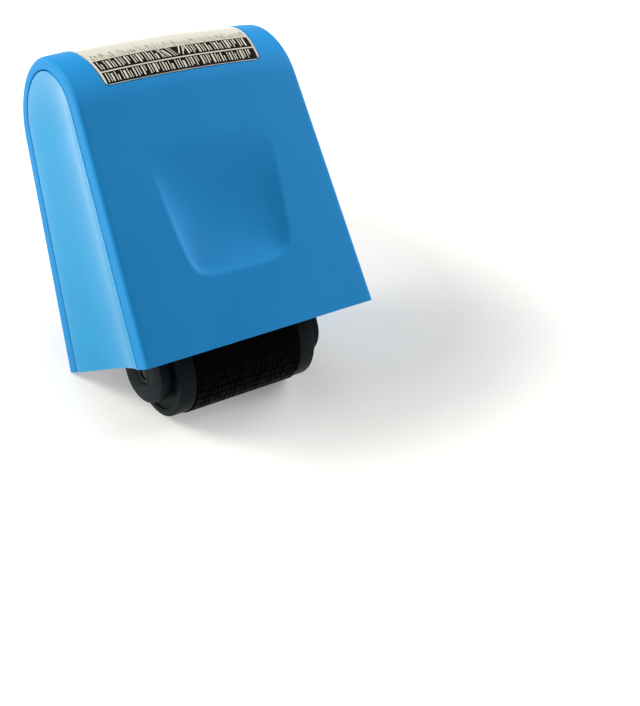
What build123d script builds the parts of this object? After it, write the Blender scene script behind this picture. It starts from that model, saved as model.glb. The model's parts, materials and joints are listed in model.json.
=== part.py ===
from build123d import *
import math
import os

os.makedirs("parts", exist_ok=True)

# A hand-held roller stamp. All sizes are in millimetres and degrees. Every piece is
# drawn upright, X across the stamp, Y to the rear and Z up from the bottom rim. The
# whole stamp is then leaned back until it rests on its drum and its rear rim.

# Housing
body_width = 62.0
body_depth = 44.0
arch_height = 56.2
side_taper = 2.44
face_taper = 5.5
edge_bevel = 0.9
wall = 1.8
side_thickness = 3.2

# Side panels
panel_foot_band = 4.9
panel_arch_band = 3.9
panel_gap = 0.25
panel_rebate = 1.8
panel_ledge = 1.8
dish_depth = 1.8

# Thumb scoops
scoop_foot = 15.2
scoop_height = 30.8
scoop_side_margin = 13.4
scoop_flare = 5.9
scoop_depth = 1.7
scoop_draft = 35.0
scoop_corner = 2.5
scoop_backing = 1.6
scoop_margin = 3.0

# Top label
label_margin = 8.6
label_start = 20.0
label_thickness = 0.25
label_inset = 0.35
label_gap = 0.25
label_corner = 1.2

# Base plate
plate_foot = 1.4
plate_thickness = 2.4
plate_gap = 0.4
window_gap = 0.8
slot_gap = 0.2

# Posts that the base plate is screwed to
post_half = 2.4
post_height = 9.0
post_margin = 2.8

# Cheeks
cheek_thickness = 2.6
tongue_half = 9.8
tongue_drop = 7.4
shoulder_half = 12.0
foot_width = 4.8
foot_half = 5.0
foot_height = 4.0
foot_gap = 0.4

# Printing drum
axle_drop = 2.9
die_radius = 12.0
relief = 0.8
sleeve_thickness = 1.2
flange_width = 4.4
flange_step = 0.6
flange_bevel = 0.4
end_play = 0.7
axle_radius = 2.0
journal_radius = 1.5
journal_inset = 0.25
running_gap = 0.05
bush_wall = 1.15

# Raised bars of the die, two to a row, parted at a share of the die's half length
bar_rows = 12
row_gap = 1.1
bar_gap = 1.0
split_shares = (-0.24, 0.3, 0.0, -0.42, 0.46)

# Ink roller
ink_gap = 0.3
ink_radius = 7.5
ink_core_radius = 3.6
ink_cap_radius = 6.6
ink_cap_thickness = 1.2
ink_cap_play = 0.7
ink_axle_radius = 1.5
ink_axle_inset = 0.8

# Sprung carriage of the ink roller
arm_play = 0.7
arm_width = 2.5
arm_half = 4.2
arm_foot = 2.8
saddle_clearance = 1.6
saddle_thickness = 2.0
saddle_half = 5.6
ink_travel = 1.2

# Pressure springs
spring_length = 8.6
spring_radius = 2.4
spring_wire = 0.35
spring_turns = 4
turn_corners = 10
spring_gap = 0.3
pin_radius = 1.5
pin_length = 2.2
spring_place_share = 0.62

# Cross bridge
bridge_half = 6.5
bridge_thickness = 2.4
bridge_end = 4.2
bridge_end_height = 5.6
tenon_half = 3.5
tenon_rise = 1.2

# Screws
head_radius = 1.9
head_height = 1.2
shank_radius = 1.0
shank_length = 5.0

# Length that a cutting tool runs past the face it cuts
overrun = 2.0

face_lean = math.radians(face_taper)
side_lean = math.radians(side_taper)
half_width = body_width / 2
half_depth = body_depth / 2
arch_radius = half_depth * math.cos(face_lean) - arch_height * math.sin(face_lean)
body_height = arch_height + arch_radius

# Stations across the stamp, from the side in to the drum
plate_out = half_width - side_thickness - plate_gap
cheek_outer = plate_out - foot_gap - foot_width
cheek_inner = cheek_outer - cheek_thickness
flange_end = cheek_inner - end_play
die_half = flange_end - flange_width
arm_outer = cheek_inner - arm_play
arm_inner = arm_outer - arm_width
ink_half = arm_inner - ink_cap_play - ink_cap_thickness
ink_axle_end = cheek_outer - ink_axle_inset
spring_place = spring_place_share * die_half
screw_out = cheek_outer + foot_width / 2
label_half = half_width - arch_height * math.tan(side_lean) - label_margin
scoop_top_half = half_width - scoop_side_margin

# Levels, from the base plate up to the bridge
plate_top = plate_foot + plate_thickness
drum_height = -axle_drop
ink_height = drum_height + die_radius + ink_gap + ink_radius
saddle_foot = ink_height + ink_radius + saddle_clearance
saddle_top = saddle_foot + saddle_thickness
bridge_foot = saddle_top + spring_length
cheek_height = bridge_foot + bridge_thickness

# Radii of the drum, and stations from front to rear
core_radius = die_radius - relief - sleeve_thickness
flange_radius = die_radius - flange_step
bush_radius = journal_radius + running_gap + bush_wall
plate_deep = half_depth - wall - plate_gap - plate_top * math.tan(face_lean)
post_place = plate_deep - post_margin


# Ring or rod along X between two stations
def tube(start, end, outer, inner, height):
    ring = Circle(outer) - Circle(inner) if inner > 0 else Circle(outer)
    return Pos(start, 0, height) * extrude(Plane.YZ * ring, end - start)


# Box given by its low and high corner
def block(low, high):
    size = [b - a for a, b in zip(low, high)]
    middle = [(a + b) / 2 for a, b in zip(low, high)]
    return Pos(*middle) * Box(*size)


# Piece and its mirror image in the middle plane of the stamp
def both_sides(piece):
    return piece + mirror(piece, about=Plane.YZ)


# Arched outline: straight flanks that lean in and meet a round top. It is drawn
# flat, its first axis to the rear and its second axis up.
def arch_outline(radius, taper, foot):
    lean = math.radians(taper)
    top_y = arch_height + radius * math.sin(lean)
    top_x = radius * math.cos(lean)
    foot_x = radius / math.cos(lean) + (arch_height + foot) * math.tan(lean)
    flanks = Polyline((-top_x, top_y), (-foot_x, -foot), (foot_x, -foot), (top_x, top_y))
    arc = ThreePointArc((top_x, top_y), (0, arch_height + radius), (-top_x, top_y))
    return make_face(flanks + arc)


# Arched body from side to side
def arch_body(radius, foot):
    return extrude(Plane.YZ * arch_outline(radius, face_taper, foot), half_width, both=True)


# Space between the two side planes, set in by a wall, above a level
def between_sides(inset, foot):
    low = half_width - inset / math.cos(side_lean) - foot * math.tan(side_lean)
    top = body_height + overrun
    high = low - (top - foot) * math.tan(side_lean)
    face = make_face(Polyline((-low, foot), (low, foot), (high, top), (-high, top), close=True))
    return extrude(Plane.XZ * face, body_depth, both=True)


outer_body = arch_body(arch_radius, 0) & between_sides(0, 0)
cavity = arch_body(arch_radius - wall, overrun) & between_sides(side_thickness, -overrun)

# Planes that lie on the right side face and on the front face
side_plane = Plane(
    origin=(half_width, 0, 0), x_dir=(0, 1, 0), z_dir=(math.cos(side_lean), 0, math.sin(side_lean))
)
front_plane = Plane(
    origin=(0, -half_depth, 0), x_dir=(1, 0, 0), z_dir=(0, -math.cos(face_lean), math.sin(face_lean))
)

# Outline of the side panel
panel_radius = arch_radius - panel_arch_band
panel_foot_half = half_depth - panel_foot_band
panel_taper = math.degrees(math.atan((panel_foot_half - panel_radius) / arch_height))


# Panel outline grown or shrunk, and given a thickness inward from the side face
def panel_slab(growth, depth):
    face = arch_outline(panel_radius + growth, panel_taper, overrun)
    return side_plane * (Pos(0, 0, overrun) * extrude(face, -depth - overrun))


# Large round bar that dishes the side panel, lying deeper at the foot, so that the
# hollow ends along the panel's straight edges
def dish():
    radius = (panel_foot_half**2 + dish_depth**2) / (2 * dish_depth)
    arch_dish = radius - math.sqrt(radius**2 - panel_radius**2)
    tilt = math.degrees(math.atan((dish_depth - arch_dish) / arch_height))
    bar = Rot(X=tilt) * Pos(0, 0, radius) * Rot(X=90) * Cylinder(radius, 2 * (body_height + body_depth))
    return side_plane * (Pos(0, 0, -dish_depth) * bar)


# Thumb scoop in the front face: a drafted pocket whose floor rises to the face
def scoop():
    slope = math.degrees(math.atan(scoop_depth / scoop_height))
    draft = scoop_depth * math.tan(math.radians(scoop_draft))
    narrowing = math.tan(math.radians(scoop_flare))
    top = scoop_height + overrun
    top_half = scoop_top_half + overrun * narrowing
    foot_half_width = scoop_top_half - draft - scoop_height * narrowing
    corners = ((-foot_half_width, draft), (foot_half_width, draft), (top_half, top), (-top_half, top))
    floor = make_face(Polyline(*corners, close=True))
    floor = fillet(floor.vertices().sort_by(Axis.Y)[:2], scoop_corner)
    pocket = extrude(floor, scoop_depth + overrun, taper=-scoop_draft)
    return front_plane * (Pos(0, scoop_foot, -scoop_depth) * Rot(X=slope) * pocket)


# Strip over the top from one angle to the other, between two radii
def arch_strip(half, outer, inner):
    angle = math.radians(label_start)
    reach = outer / math.sin(angle)
    wedge = Polyline(
        (0, 0),
        (reach * math.cos(angle), reach * math.sin(angle)),
        (0, 2 * reach),
        (-reach * math.cos(angle), reach * math.sin(angle)),
        close=True,
    )
    ring = (Circle(outer) - Circle(inner)) & make_face(wedge)
    return Pos(0, 0, arch_height) * extrude(Plane.YZ * ring, half, both=True)


# Blue shell, open below, with a rebated opening in each side for a panel
def make_shell():
    rims = outer_body.faces().sort_by(Axis.X)
    edges = [e for f in (rims[0], rims[-1]) for e in f.edges() if e.center().Z > edge_bevel]
    body = chamfer(edges, edge_bevel)
    backing = block(
        (-scoop_top_half - scoop_margin, -half_depth, scoop_foot - scoop_margin),
        (scoop_top_half + scoop_margin, half_depth, scoop_foot + scoop_height),
    )
    shell = body - (cavity - (backing - arch_body(arch_radius - wall - scoop_backing, overrun)))
    through = panel_slab(panel_gap - panel_ledge, side_thickness + overrun)
    opening = panel_slab(panel_gap, panel_rebate) + through
    cut = scoop()
    shell = shell - both_sides(opening) - cut - mirror(cut, about=Plane.XZ)
    shell = shell - arch_strip(label_half + label_gap, arch_radius + overrun, arch_radius - label_inset)
    post = block(
        (screw_out - post_half, post_place - post_half, plate_top),
        (screw_out + post_half, half_depth, plate_top + post_height),
    )
    post = both_sides(post & outer_body)
    return shell + post + mirror(post, about=Plane.XZ) - screw_holes()


# Blue dished panel of the right side
def make_panel():
    plate = panel_slab(0, panel_rebate) + panel_slab(-panel_ledge, side_thickness)
    return (plate & outer_body) - dish()


# Printed label laid over the top
def make_label():
    strip = arch_strip(label_half, arch_radius - label_inset + label_thickness, arch_radius - label_inset)
    corners = strip.edges().filter_by(lambda e: e.length < 2 * label_thickness)
    return fillet(corners, label_corner)


# Screw with its head down and its shank up, head face at the origin
def make_screw():
    head = Pos(0, 0, head_height / 2) * Cylinder(head_radius, head_height)
    shank = Pos(0, 0, head_height + shank_length / 2) * Cylinder(shank_radius, shank_length)
    return head + shank


# Places of the six screws: one under each cheek foot and one under each post
def screw_places():
    spots = [(sx, sy) for sx in (-1, 1) for sy in (-1, 0, 1)]
    return [Pos(sx * screw_out, sy * post_place, plate_foot) for sx, sy in spots]


# Stepped holes that the screws pass through, each with a recess for the head
def screw_holes():
    length = shank_length + head_height
    hole = Pos(0, 0, length / 2) * Cylinder(shank_radius, length)
    recess = Pos(0, 0, head_height / 2) * Cylinder(head_radius, head_height)
    return Compound([place * (hole + recess) for place in screw_places()])


# Black plate that closes the housing from below around the drum
def make_base_plate():
    plate = block((-plate_out, -plate_deep, plate_foot), (plate_out, plate_deep, plate_top))
    window_deep = die_radius + window_gap
    window = block((-cheek_inner, -window_deep, 0), (cheek_inner, window_deep, plate_top + overrun))
    slot_out = cheek_outer + slot_gap
    slot_deep = tongue_half + slot_gap
    slots = block((-slot_out, -slot_deep, 0), (slot_out, slot_deep, plate_top + overrun))
    return plate - window - slots - screw_holes()


# Black side cheek on the right: carries the drum bush and guides the ink axle
def make_cheek():
    waist = (plate_top + saddle_top) / 2
    outline = Polyline(
        (-tongue_half, drum_height),
        (-tongue_half, plate_top),
        (-shoulder_half, plate_top),
        (-shoulder_half, waist),
        (-bridge_half, cheek_height),
        (bridge_half, cheek_height),
        (shoulder_half, waist),
        (shoulder_half, plate_top),
        (tongue_half, plate_top),
        (tongue_half, drum_height),
        close=True,
    )
    tongue = Pos(0, drum_height) * Ellipse(tongue_half, tongue_drop)
    plate = Pos(cheek_inner, 0, 0) * extrude(Plane.YZ * (make_face(outline) + tongue), cheek_thickness)
    foot = block(
        (cheek_outer, -foot_half, plate_top), (cheek_outer + foot_width, foot_half, plate_top + foot_height)
    )
    bush_hole = tube(cheek_inner - overrun, cheek_outer + overrun, bush_radius, 0, drum_height)
    guide = SlotCenterToCenter(ink_travel, 2 * (ink_axle_radius + running_gap))
    guide_cut = Pos(cheek_inner - overrun, 0, ink_height + ink_travel / 2) * extrude(
        Plane.YZ * (Rot(Z=90) * guide), cheek_thickness + 2 * overrun
    )
    mortise = block(
        (cheek_inner - overrun, -tenon_half, cheek_height - bridge_end_height + tenon_rise),
        (cheek_outer + overrun, tenon_half, cheek_height - tenon_rise),
    )
    return plate + foot - bush_hole - guide_cut - mortise - screw_holes()


# Black bridge that ties the cheeks together by a tenon at each end and backs the springs
def make_bridge():
    bar = block((-cheek_inner, -bridge_half, bridge_foot), (cheek_inner, bridge_half, cheek_height))
    end_foot = cheek_height - bridge_end_height
    inner = cheek_inner - bridge_end
    end = block((inner, -bridge_half, end_foot), (cheek_inner, bridge_half, cheek_height))
    tenon = block(
        (inner, -tenon_half, end_foot + tenon_rise),
        (cheek_outer, tenon_half, cheek_height - tenon_rise),
    )
    pin = Pos(spring_place, 0, bridge_foot - pin_length / 2) * Cylinder(pin_radius, pin_length)
    return bar + both_sides(end + tenon + pin)


# Steel drum axle with a thinner journal at each end
def make_axle():
    shoulder = (flange_end + cheek_inner) / 2
    end = cheek_outer - journal_inset
    journal = tube(-end, end, journal_radius, 0, drum_height)
    return tube(-shoulder, shoulder, axle_radius, 0, drum_height) + journal


# Bush of the drum journal in the right cheek
def make_bush():
    return tube(cheek_inner, cheek_outer, bush_radius, journal_radius + running_gap, drum_height)


# Spool under the die
def make_core():
    return tube(-die_half, die_half, core_radius, axle_radius, drum_height)


# Right end flange of the drum
def make_flange():
    disc = tube(die_half, flange_end, flange_radius, axle_radius, drum_height)
    rim = disc.edges().filter_by(GeomType.CIRCLE).group_by(Edge.length)[-1].sort_by(Axis.X)[-1]
    return chamfer(rim, flange_bevel)


# Rubber die: a sleeve with rows of plain raised bars
def make_die():
    base = tube(-die_half, die_half, die_radius - relief, core_radius, drum_height)
    skin = tube(-die_half, die_half, die_radius, core_radius, drum_height)
    half_bar = math.pi * die_radius / bar_rows - row_gap / 2
    bars = []
    for row in range(bar_rows):
        split = split_shares[row % len(split_shares)] * die_half
        for start, end in ((-die_half, split - bar_gap / 2), (split + bar_gap / 2, die_half)):
            bar = block((start, -half_bar, core_radius), (end, half_bar, die_radius))
            bars.append(Pos(0, 0, drum_height) * Rot(X=row * 360 / bar_rows) * bar)
    return base + (skin & Compound(bars))


# Steel axle of the ink roller, fixed in the carriage arms
def make_ink_axle():
    return tube(-ink_axle_end, ink_axle_end, ink_axle_radius, 0, ink_height)


# Tube that turns on the ink axle
def make_ink_core():
    end = ink_half + ink_cap_thickness
    return tube(-end, end, ink_core_radius, ink_axle_radius + running_gap, ink_height)


# Felt sleeve that holds the ink
def make_ink_sleeve():
    return tube(-ink_half, ink_half, ink_radius, ink_core_radius, ink_height)


# Right end cap of the felt sleeve
def make_ink_cap():
    return tube(ink_half, ink_half + ink_cap_thickness, ink_cap_radius, ink_core_radius, ink_height)


# Carriage: a saddle over the ink roller with an arm at each end
def make_carriage():
    saddle = block((-arm_outer, -saddle_half, saddle_foot), (arm_outer, saddle_half, saddle_top))
    arm = block((arm_inner, -arm_half, ink_height - arm_foot), (arm_outer, arm_half, saddle_top))
    pin = Pos(spring_place, 0, saddle_top + pin_length / 2) * Cylinder(pin_radius, pin_length)
    bore = tube(-arm_outer - overrun, arm_outer + overrun, ink_axle_radius, 0, ink_height)
    return saddle + both_sides(arm + pin) - bore


# Right pressure spring between the bridge and the carriage, its wire drawn in short
# straight runs
def make_spring():
    low = saddle_top + spring_gap + spring_wire
    rise = (bridge_foot - spring_wire - low) / (spring_turns * turn_corners)
    points = []
    for step in range(spring_turns * turn_corners + 1):
        angle = math.radians(step * 360 / turn_corners)
        points.append((spring_radius * math.cos(angle), spring_radius * math.sin(angle), low + step * rise))
    path = Polyline(*points)
    section = Plane(origin=path @ 0, z_dir=path % 0) * Rectangle(2 * spring_wire, 2 * spring_wire)
    return Pos(spring_place, 0, 0) * sweep(section, path=path, transition=Transition.RIGHT)


# Angle at which the stamp rests on its drum and its rear rim
lean_angle = math.degrees(
    math.asin(die_radius / math.hypot(half_depth, axle_drop)) + math.atan2(axle_drop, half_depth)
)

right = {
    "side_panel": make_panel(),
    "cheek": make_cheek(),
    "bush": make_bush(),
    "drum_flange": make_flange(),
    "ink_cap": make_ink_cap(),
    "pressure_spring": make_spring(),
}
nodes = {
    "housing_shell": make_shell(),
    "top_label": make_label(),
    "base_plate": make_base_plate(),
    "cross_bridge": make_bridge(),
    "frame_screws": Compound([place * make_screw() for place in screw_places()]),
    "drum_axle": make_axle(),
    "drum_core": make_core(),
    "print_die": make_die(),
    "ink_axle": make_ink_axle(),
    "ink_core": make_ink_core(),
    "ink_sleeve": make_ink_sleeve(),
    "ink_carriage": make_carriage(),
}
for name, piece in right.items():
    nodes[name + "_right"] = piece
    nodes[name + "_left"] = mirror(piece, about=Plane.YZ)

# Lean the stamp back and set it down, centred on its footprint
leaned = {name: Rot(X=-lean_angle) * piece for name, piece in nodes.items()}
bounds = Compound(list(leaned.values())).bounding_box()
centre = bounds.center()
seat = Pos(-centre.X, -centre.Y, -bounds.min.Z)
for name, piece in leaned.items():
    export_step(seat * piece, os.path.join("parts", name + ".step"))
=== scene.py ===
import json
import math

import bmesh
import bpy
from mathutils import Matrix, Vector


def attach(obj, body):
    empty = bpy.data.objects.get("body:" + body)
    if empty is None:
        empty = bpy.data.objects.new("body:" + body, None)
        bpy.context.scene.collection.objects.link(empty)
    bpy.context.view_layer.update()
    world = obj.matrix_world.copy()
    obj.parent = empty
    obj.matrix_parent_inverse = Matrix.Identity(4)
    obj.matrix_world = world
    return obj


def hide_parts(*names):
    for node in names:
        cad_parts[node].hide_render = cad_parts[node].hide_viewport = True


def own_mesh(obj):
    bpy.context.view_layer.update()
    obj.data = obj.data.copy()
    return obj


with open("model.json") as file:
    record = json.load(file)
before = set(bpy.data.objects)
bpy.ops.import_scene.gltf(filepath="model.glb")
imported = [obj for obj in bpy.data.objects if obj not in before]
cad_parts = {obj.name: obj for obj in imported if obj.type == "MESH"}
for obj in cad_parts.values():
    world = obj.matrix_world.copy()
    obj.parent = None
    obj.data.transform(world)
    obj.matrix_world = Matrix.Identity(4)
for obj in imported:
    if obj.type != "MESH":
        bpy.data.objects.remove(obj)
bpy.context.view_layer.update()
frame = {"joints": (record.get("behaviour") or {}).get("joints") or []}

# Stance: the stamp is drawn upright, in millimetres from the middle of its bottom rim, and then
# leans back on its drum and rear rim. The frame gives the lean, which is the way in which the
# ink carriage slides, and the place of the drum's axle.
MM = 0.001
AXLE_LEVEL = -2.9
joints = {joint["name"]: joint for joint in frame["joints"]}
up_way = Vector(joints["ink_carriage_lift"]["axis"])
lean = Matrix.Rotation(math.atan2(-up_way.y, up_way.z), 4, "X")
axle_place = Vector(joints["drum_spin"]["pos_m"])
standing = Matrix.Translation(axle_place - lean @ Vector((0, 0, AXLE_LEVEL * MM))) @ lean

# Housing shell: one thin-walled moulding of blue ABS, open below and arched over the top. Its
# front and rear lean in to the arch, a rebated opening in each side takes a panel, and thumb
# and finger scoops are moulded into the front and rear.
HALF_WIDTH = 31.0
HALF_DEPTH = 22.0
ARCH_LEVEL = 56.2
CROWN_CENTRE = -317.288
EDGE_ROUND = 0.9
ARCH_EDGE_ROUND = 1.3
WALL = 1.8
SIDE_THICKNESS = 3.2
PANEL_REBATE = 1.8
PANEL_LEDGE = 1.8
PANEL_GAP = 0.25
face_lean = math.radians(5.5)
side_lean = math.radians(2.44)
arch_radius = HALF_DEPTH * math.cos(face_lean) - ARCH_LEVEL * math.sin(face_lean)
side_way = Vector((math.cos(side_lean), 0, math.sin(side_lean)))


def linear(hex_colour):
    channels = [int(hex_colour[i : i + 2], 16) / 255 for i in (1, 3, 5)]
    return [c / 12.92 if c <= 0.04045 else ((c + 0.055) / 1.055) ** 2.4 for c in channels] + [1.0]


# Adds a node. Settings go by name, and sources link by place or by the socket's name.
def node(material, kind, settings=None, *sources, **links):
    tree = material.node_tree
    new = tree.nodes.new(kind)
    for key, value in (settings or {}).items():
        if hasattr(new, key):
            setattr(new, key, value)
        else:
            new.inputs[key].default_value = value
    for place, source in enumerate(sources):
        tree.links.new(source, new.inputs[place])
    for key, source in links.items():
        tree.links.new(source, new.inputs[key.replace("_", " ")])
    return new


# A material in two colours that follow a pattern on the object's own coordinates. The pattern
# and the colour go on into the nodes that give its finish.
def patterned(name, kind, settings, darker, lighter, ends=(0.0, 1.0), output="Fac"):
    material = bpy.data.materials.new(name)
    material.use_nodes = True
    material.node_tree.nodes.clear()
    where = node(material, "ShaderNodeTexCoord").outputs["Object"]
    pattern = node(material, kind, settings, Vector=where).outputs[output]
    tint = node(material, "ShaderNodeValToRGB", Fac=pattern)
    for element, colour, end in zip(tint.color_ramp.elements, (darker, lighter), ends):
        element.color = linear(colour)
        element.position = end
    return material, pattern, tint.outputs["Color"]


# Moulded blue ABS: a soft satin sheen, a little wavy where the plastic flowed and shrank, and a
# fine grain from the sparked steel of the tool
def moulded_blue(name, darker, lighter, least_rough, most_rough, shine):
    # Sink and flow in the moulding, 14 mm wide
    material, flow, tint = patterned(
        name, "ShaderNodeTexNoise", {"Scale": 1 / (14 * MM), "Detail": 1.0}, darker, lighter, ends=(0.3, 0.7)
    )
    # The sparked texture is 0.12 mm from grain to grain, and is drawn 0.5 mm so that it shows
    where = node(material, "ShaderNodeTexCoord").outputs["Object"]
    spark = node(material, "ShaderNodeTexNoise", {"Scale": 1 / (0.5 * MM), "Detail": 2.0}, Vector=where)
    sheen = node(material, "ShaderNodeMapRange", {"To Min": least_rough, "To Max": most_rough}, Value=flow)
    grain = node(
        material, "ShaderNodeBump", {"Strength": 0.12, "Distance": 0.012 * MM}, Height=spark.outputs["Fac"]
    )
    waves = node(
        material, "ShaderNodeBump", {"Strength": 0.3, "Distance": 0.05 * MM},
        Height=flow, Normal=grain.outputs["Normal"],
    )
    shader = node(
        material, "ShaderNodeBsdfPrincipled", {"IOR": 1.5, "Specular IOR Level": shine},
        Base_Color=tint, Roughness=sheen.outputs["Result"], Normal=waves.outputs["Normal"],
    )
    node(material, "ShaderNodeOutputMaterial", Surface=shader.outputs["BSDF"])
    return material


blue_abs = moulded_blue("blue_moulded_abs", "#2491D6", "#2694DA", 0.46, 0.54, 0.08)


# The top is crowned from side to side, round a centre far below the rim
def crowned(height, across):
    return CROWN_CENTRE + math.sqrt((height - CROWN_CENTRE) ** 2 - across**2)


def uncrowned(level, across):
    return CROWN_CENTRE + math.sqrt((level - CROWN_CENTRE) ** 2 + across**2)


# Point of the wall at a station of the arched outline, set in by a depth. A station is
# (-1 or 1, share of the flank's height) on the front or rear, or (0, angle) on the arch.
def wall_point(across, station, inset):
    side, share = station
    radius = arch_radius - inset
    if side:
        level = share * crowned(ARCH_LEVEL + radius * math.sin(face_lean), across)
        rise = ARCH_LEVEL - uncrowned(level, across)
        return Vector((across, side * (radius / math.cos(face_lean) + rise * math.tan(face_lean)), level))
    height = ARCH_LEVEL + radius * math.sin(share)
    return Vector((across, -radius * math.cos(share), crowned(height, across)))


# The way that the wall faces there
def wall_way(across, station):
    side, share = station
    if side:
        out, up = side * math.cos(face_lean), math.sin(face_lean)
        height = uncrowned(share * ARCH_LEVEL, across)
    else:
        out, up = -math.cos(share), math.sin(share)
        height = ARCH_LEVEL + arch_radius * math.sin(share)
    tip = across / (height - CROWN_CENTRE)
    return Vector((up * tip, out, up * math.sqrt(1 - tip**2)))


# Scoop: a soft bowl with an eased lip at its sides and foot, which fades into the face above
SCOOP_FOOT = 15.2
SCOOP_TOP = 46.5
SCOOP_FOOT_HALF = 13.7
SCOOP_FLARE = 0.103
SCOOP_DEPTH = 3.1
SCOOP_FADE = 1.5
SCOOP_CORNER = 4.0
SCOOP_FOOT_CURVE = 22.0
SCOOP_BLEND = 0.15
SCOOP_LIP = 0.9


def smooth(share):
    share = min(max(share, 0.0), 1.0)
    return share * share * (3 - 2 * share)


# The smaller of two values, with their meeting rounded off
def rounded_min(first, second, softness):
    return 1 / math.hypot(1 / (first + softness), 1 / (second + softness)) - softness


def scoop_depth(point, station):
    if not station[0] or not SCOOP_FOOT < point.z < SCOOP_TOP:
        return 0.0
    from_foot = point.z - SCOOP_FOOT
    half = SCOOP_FOOT_HALF + SCOOP_FLARE * from_foot
    if abs(point.x) > half:
        return 0.0
    edge = rounded_min(from_foot, half - abs(point.x), SCOOP_CORNER)
    upright = 1 - (1 - min(from_foot / SCOOP_FOOT_CURVE, 1)) ** 2
    bowl = rounded_min(upright, 1 - (point.x / half) ** 2, SCOOP_BLEND) / rounded_min(1, 1, SCOOP_BLEND)
    fade = (1 - (from_foot / (SCOOP_TOP - SCOOP_FOOT)) ** 2) ** SCOOP_FADE
    return SCOOP_DEPTH * fade * max(bowl, 0) * smooth(edge / SCOOP_LIP)


# Bed of the label: its own rounded outline, sunk into the top. The label spreads a little from
# its front and rear ends to the top of the arch.
LABEL_HALF = 20.0
LABEL_START = math.radians(20)
LABEL_INSET = 0.35
LABEL_THICKNESS = 0.25
LABEL_CORNER = 1.2
LABEL_GAP = 0.3
END_SPREAD = 1.01
TOP_SPREAD = 1.055
BED_SHARPNESS = 0.12


def label_spread(station):
    if station[0]:
        return 1.0
    climb = (math.sin(station[1]) - math.sin(LABEL_START)) / (1 - math.sin(LABEL_START))
    return END_SPREAD + (TOP_SPREAD - END_SPREAD) * smooth(climb)


def bed_depth(across, station):
    if station[0]:
        return 0.0
    along = (min(station[1], math.pi - station[1]) - LABEL_START) * arch_radius + LABEL_GAP
    inward = LABEL_HALF * label_spread(station) + LABEL_GAP - abs(across)
    corner = LABEL_CORNER + LABEL_GAP
    edge = min(along, inward)
    if along < corner and inward < corner:
        edge = corner - math.hypot(corner - along, corner - inward)
    return LABEL_INSET * smooth(edge / BED_SHARPNESS + 0.5)


# Outline of the side opening, on the side plane: stations as above, first rearward, then up
PANEL_TOP_MARGIN = 3.9
PANEL_FOOT_MARGIN = 4.9
panel_radius = arch_radius - PANEL_TOP_MARGIN
panel_foot_half = HALF_DEPTH - PANEL_FOOT_MARGIN
panel_lean = math.atan((panel_foot_half - panel_radius) / ARCH_LEVEL)


def panel_edge(station, growth):
    side, share = station
    radius = panel_radius + growth
    if side:
        foot = radius / math.cos(panel_lean) + ARCH_LEVEL * math.tan(panel_lean)
        top = radius * math.cos(panel_lean)
        return side * (foot + (top - foot) * share), share * (ARCH_LEVEL + radius * math.sin(panel_lean))
    turn = math.pi / 2 + (share - math.pi / 2) * (math.pi / 2 - panel_lean) / (math.pi / 2 - face_lean)
    return -radius * math.cos(turn), ARCH_LEVEL + radius * math.sin(turn)


def side_point(rear, up, depth):
    on_plane = Vector((HALF_WIDTH - up * math.sin(side_lean), rear, up * math.cos(side_lean)))
    return on_plane - side_way * depth


# Rows of the outline, with close ones where the label's bed begins and ends, and columns over
# half the width, with close ones along the side of the bed
FLANK_ROWS = 92
ARCH_ROWS = 44
BED_ROWS = 18
BED_LEAD = 0.35
BED_STEP = 0.1
BED_COLUMNS_START = 18.7
BED_COLUMNS_END = 20.6
COLUMN_STEP = 0.5
OUTER_COLUMNS = 9
front_flank = [(-1, row / FLANK_ROWS) for row in range(FLANK_ROWS)]
rear_flank = [(1, 1 - (row + 1) / FLANK_ROWS) for row in range(FLANK_ROWS)]
arch_turns = [face_lean + (math.pi - 2 * face_lean) * row / ARCH_ROWS for row in range(ARCH_ROWS + 1)]
for row in range(BED_ROWS):
    turn = LABEL_START + (row * BED_STEP - BED_LEAD) / arch_radius
    arch_turns += [turn, math.pi - turn]
stations = front_flank + [(0, turn) for turn in sorted(arch_turns)] + rear_flank
bed_columns = round((BED_COLUMNS_END - BED_COLUMNS_START) / BED_STEP)
inner_columns = [column * COLUMN_STEP for column in range(math.ceil(BED_COLUMNS_START / COLUMN_STEP))]
inner_columns += [BED_COLUMNS_START + column * BED_STEP for column in range(bed_columns)]

# Half of the shell's section at a station: outside to the edge, over it, into the opening with
# its ledge, and back inside, where the wall is thicker behind each scoop. The edge's rounding
# grows up the arch from a little above its foot.
ROUND_START = 1 / 11
EDGE_STEPS = 6
LIP_STEPS = 4
LIP_ROUND = 0.2
BACKING = 1.6
BACKING_FOOT = 9
BACKING_TOP = 48
BACKING_RAMP = 5
BACKING_REACH = 0.7


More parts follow.
